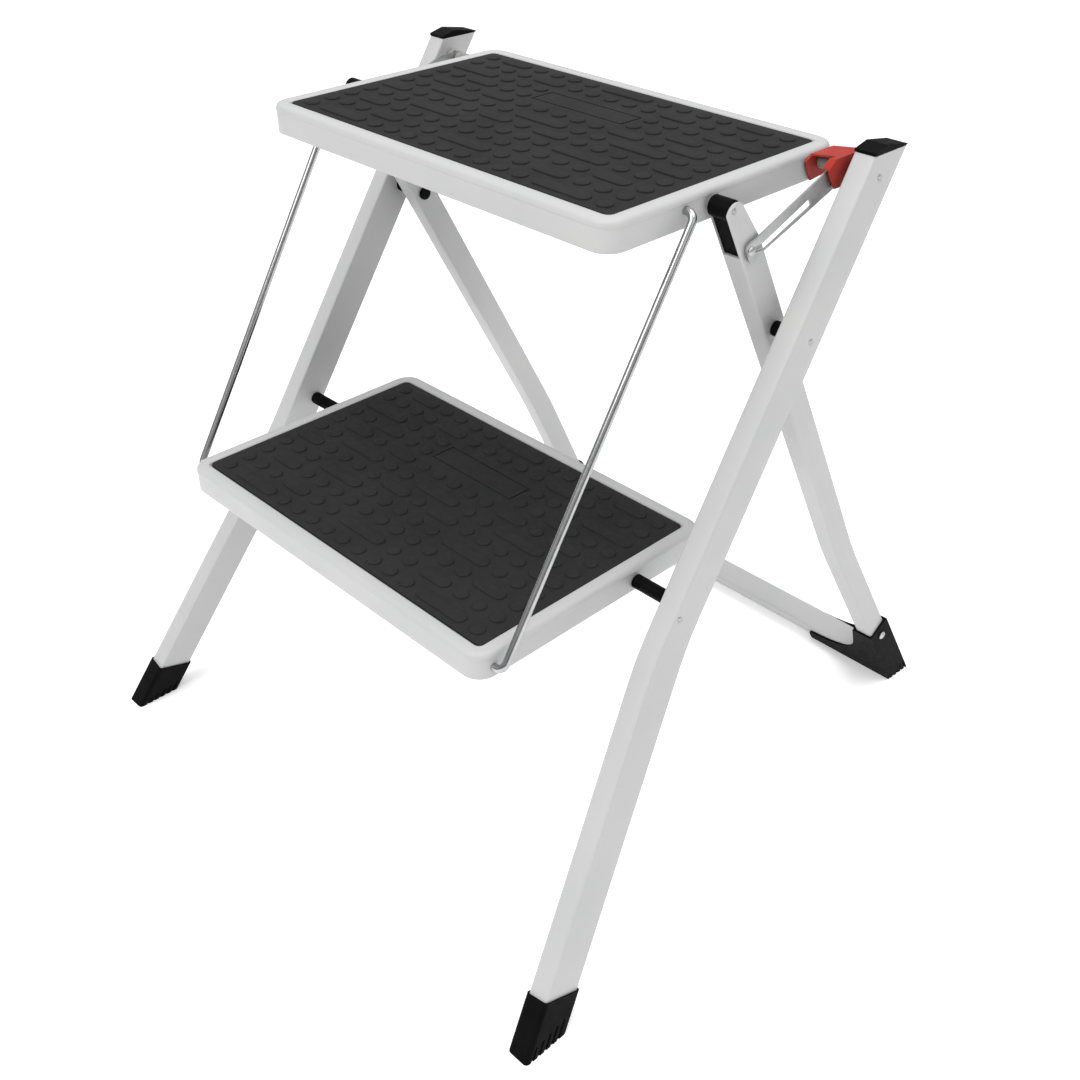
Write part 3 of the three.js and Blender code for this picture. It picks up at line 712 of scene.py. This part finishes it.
def trimmed(looks):
    """CAD shapes that only need their edges eased."""
    for node, body, slot, width in (
        ("leg_cap", "front_frame", "black_plastic", 0.4),
        ("lower_spacer", "front_frame", "black_plastic", 0.5),
        ("scissor_spacer", "front_frame", "black_plastic", 0.5),
        ("axle_sleeve", "front_frame", "nylon", 0.3),
        ("stay_spacer", "front_frame", "nylon", 0.3),
        ("scissor_cap", "rear_frame", "black_plastic", 0.5),
        ("fork_insert", "rear_frame", "black_plastic", 0.5),
        ("shoe_screw", "rear_frame", "zinc", 0.15),
    ):
        for name in (node + "_right", node + "_left"):
            piece = cad_copy(name, "eased_" + name)
            bevel(piece, width, 2)
            place(piece, looks[slot], body, slot, name)
    for side in ("left", "right"):
        piece = cad_copy("stay_bar_" + side, "eased_stay_bar_" + side)
        bevel(piece, 0.25, 2)
        place(piece, looks["zinc"], "stay_" + side, "zinc", "stay_bar_" + side)
    latch = cad_copy("safety_latch", "eased_safety_latch")
    bevel(latch, 0.35, 2)
    place(latch, looks["latch_red"], "latch", "latch_red", "safety_latch")


def kept_nodes(looks):
    """CAD nodes that stay as they are take their slot's finish."""
    slots = {part["node"]: part["material_slot"] for part in frame["record"]["subparts"]}
    for name, node in frame["nodes"].items():
        node.data.materials.clear()
        node.data.materials.append(looks[slots[name]])


# ---- Stage --------------------------------------------------------------------------------
def floor():
    shader = Shader("floor_paper", Roughness=0.9, Specular_IOR_Level=0.1, Emission_Strength=0.25)
    shader.principled.inputs["Emission Color"].default_value = (1, 1, 1, 1)
    tone = shader.spread(shader.noise(3, 2), 0, 1)
    shader.colour(shader.mix(tone, (0.985, 0.985, 0.985), (1, 1, 1)))
    far = 6000
    corners = [(-far, -far, 0), (far, -far, 0), (far, far, 0), (-far, far, 0)]
    plane = mesh_object("floor", (corners, [(0, 1, 2, 3)]))
    plane.data.materials.append(shader.material)


def area_light(name, location, target, size, power):
    data = bpy.data.lights.new(name, "AREA")
    data.shape = "DISK"
    data.size = size
    data.energy = power
    lamp = bpy.data.objects.new(name, data)
    lamp.location = location
    lamp.rotation_euler = (Vector(target) - Vector(location)).to_track_quat("-Z", "Y").to_euler()
    bpy.context.scene.collection.objects.link(lamp)


def world_light():
    world = bpy.data.worlds.new("studio")
    world.use_nodes = True
    tree = world.node_tree
    background = tree.nodes["Background"]
    coordinates = tree.nodes.new("ShaderNodeTexCoord")
    split = tree.nodes.new("ShaderNodeSeparateXYZ")
    ramp = tree.nodes.new("ShaderNodeValToRGB")
    tree.links.new(coordinates.outputs["Generated"], split.inputs["Vector"])
    tree.links.new(split.outputs["Z"], ramp.inputs["Fac"])
    tree.links.new(ramp.outputs["Color"], background.inputs["Color"])
    ramp.color_ramp.elements[0].position = 0
    ramp.color_ramp.elements[0].color = (0.16, 0.16, 0.16, 1)
    ramp.color_ramp.elements[1].position = 0.5
    ramp.color_ramp.elements[1].color = (0.8, 0.8, 0.8, 1)
    background.inputs["Strength"].default_value = 0.95
    bpy.context.scene.world = world


def studio():
    floor()
    world_light()
    area_light("key", (-0.2, -1.9, 2.3), (0, 0, 0.25), 1.8, 34)
    area_light("top", (0.5, 0.4, 2.8), (0, 0, 0.25), 2.4, 34)
    area_light("side", (2.2, -0.2, 1.5), (0, 0, 0.3), 1.6, 4)


CAMERA_AT = (0.5597, -0.5531, 0.6910)
CAMERA_TILT = 55.53  # degrees up from looking straight down
CAMERA_TURN = 45.65
CAMERA_ROLL = 0.11
LENS = 43.3


def camera():
    data = bpy.data.cameras.new("camera")
    data.lens = LENS
    data.sensor_width = 36
    made = bpy.data.objects.new("camera", data)
    aim = Euler((radians(CAMERA_TILT), 0, radians(CAMERA_TURN))).to_matrix()
    aim = aim @ Matrix.Rotation(radians(CAMERA_ROLL), 3, "Z")
    made.matrix_world = Matrix.Translation(CAMERA_AT) @ aim.to_4x4()
    bpy.context.scene.collection.objects.link(made)
    bpy.context.scene.camera = made


# ---- Assembly -----------------------------------------------------------------------------
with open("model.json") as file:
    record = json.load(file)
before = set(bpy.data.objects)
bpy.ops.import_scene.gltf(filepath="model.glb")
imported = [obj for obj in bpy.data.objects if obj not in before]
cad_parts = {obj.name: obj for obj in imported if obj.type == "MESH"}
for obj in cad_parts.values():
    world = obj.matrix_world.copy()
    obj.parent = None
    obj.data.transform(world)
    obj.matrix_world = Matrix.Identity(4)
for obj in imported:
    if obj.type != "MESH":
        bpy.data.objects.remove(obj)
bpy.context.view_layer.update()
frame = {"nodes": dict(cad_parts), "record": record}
camera()
studio()
looks = {
    "paint": powder_coat(),
    "tread_rubber": moulded_rubber(),
    "black_plastic": black_plastic(),
    "rod_chrome": bright_chrome(),
    "zinc": zinc_plate(),
    "latch_red": red_plastic(),
    "nylon": nylon_painted_shade(),
}
kept_nodes(looks)
front_legs(looks["paint"])
rear_legs(looks["paint"])
cross_tube(looks["paint"])
trays(looks["paint"])
mats(looks["tread_rubber"])
link_rods(looks["rod_chrome"])
rivets(looks["zinc"])
top_axle(looks["zinc"])
scissor_rivets(looks["zinc"])
feet(looks["black_plastic"])
covers(looks["black_plastic"])
trimmed(looks)
bpy.context.scene.view_settings.view_transform = "Standard"
